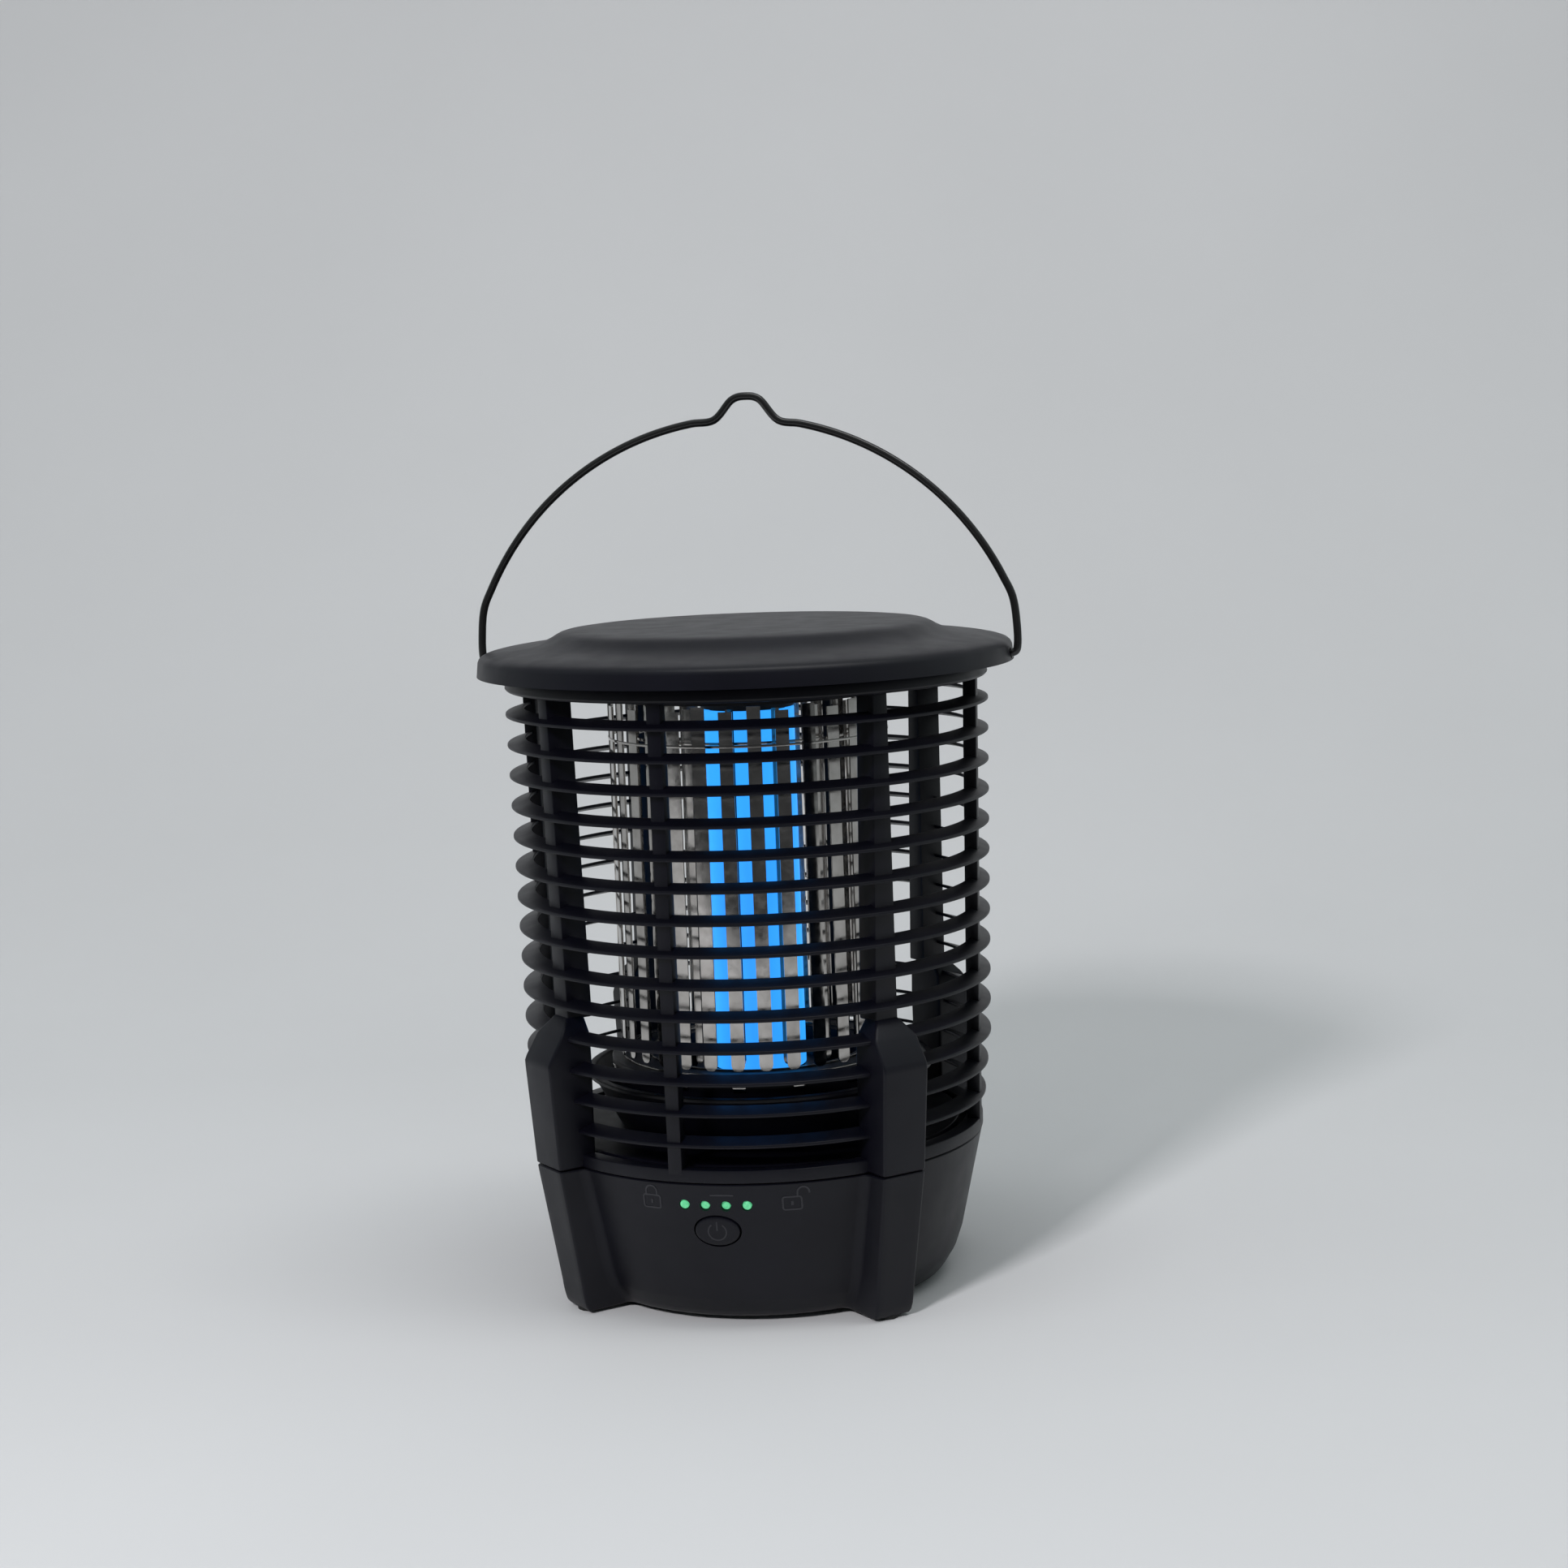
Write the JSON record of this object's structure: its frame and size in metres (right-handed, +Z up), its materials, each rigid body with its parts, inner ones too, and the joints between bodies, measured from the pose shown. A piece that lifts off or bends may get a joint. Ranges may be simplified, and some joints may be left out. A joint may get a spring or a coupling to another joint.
{
  "type": "electric bug zapper",
  "caption": "Cordless lantern bug zapper: louvred cage round a lamp and metal grids, on a tapered base with legs, with a disc lid and a wire handle.",
  "frame": {"origin": "on the axis of the cage, on the surface that the foot pads stand on", "axes": "+Z up along the cage's axis; the button and indicator lights face -Y; the handle's pivots lie along X"},
  "size_m": [0.1706, 0.1646, 0.2731],
  "materials": {
    "black_plastic": "fine matte",
    "handle_wire": "gloss",
    "grid_metal": "polished",
    "screw_steel": "satin",
    "lamp_blue": "lit diffuser",
    "circuit_board": "solder mask",
    "inner_plastic": "moulded",
    "pad_rubber": "matte",
    "indicator_green": "lit lens",
    "cell_wrap": "shrink wrap",
    "coil_tape": "tape",
    "film_resin": "dipped"
  },
  "bodies": {
    "base": {"outer_grid": "grid_metal", "inner_grid": "grid_metal", "grid_bottom_holder": "black_plastic", "grid_top_holder": "black_plastic", "lamp_tube": "lamp_blue", "lamp_board": "circuit_board", "lamp_socket": "inner_plastic", "lamp_cap": "inner_plastic", "insect_tray": "black_plastic", "base_shell": "black_plastic", "base_deck": "black_plastic", "bottom_cover": "black_plastic", "bottom_screw_1": "screw_steel", "bottom_screw_2": "screw_steel", "bottom_screw_3": "screw_steel", "bottom_screw_4": "screw_steel", "deck_screw_1": "screw_steel", "deck_screw_2": "screw_steel", "deck_screw_3": "screw_steel", "deck_screw_4": "screw_steel", "foot_pad_1": "pad_rubber", "foot_pad_2": "pad_rubber", "foot_pad_3": "pad_rubber", "foot_pad_4": "pad_rubber", "battery_cradle": "inner_plastic", "battery_cell_1": "cell_wrap", "battery_cell_2": "cell_wrap", "main_board": "circuit_board", "hv_transformer": "coil_tape", "hv_capacitor": "film_resin", "charging_port": "screw_steel", "tact_switch": "inner_plastic", "indicator_light_1": "indicator_green", "indicator_light_2": "indicator_green", "indicator_light_3": "indicator_green", "indicator_light_4": "indicator_green", "panel_board": "circuit_board"},
    "cage": {"cage": "black_plastic", "louvre_1": "black_plastic", "louvre_2": "black_plastic", "louvre_3": "black_plastic", "louvre_4": "black_plastic", "louvre_5": "black_plastic", "louvre_6": "black_plastic", "louvre_7": "black_plastic", "louvre_8": "black_plastic", "louvre_9": "black_plastic", "louvre_10": "black_plastic", "louvre_11": "black_plastic", "louvre_12": "black_plastic", "louvre_13": "black_plastic", "louvre_14": "black_plastic", "top_cover": "black_plastic", "lid_screw_1": "screw_steel", "lid_screw_2": "screw_steel", "lid_screw_3": "screw_steel", "lid_screw_4": "screw_steel"},
    "handle": {"handle": "handle_wire"},
    "button": {"power_button": "black_plastic"}
  },
  "joints": [
    {"name": "cage_twist", "type": "hinge", "parent": "base", "child": "cage", "pos_m": [0, 0, 0.0457], "axis": [0, 0, 1], "range_deg": [0, 20]},
    {"name": "handle_swing", "type": "hinge", "parent": "cage", "child": "handle", "pos_m": [0, 0, 0.1926], "axis": [1, 0, 0], "range_deg": [-80, 80]},
    {"name": "button_press", "type": "slide", "parent": "base", "child": "button", "axis": [0, 0.9762, 0.2166], "range_m": [0, 0.001], "stiffness_N_per_m": 300}
  ]
}
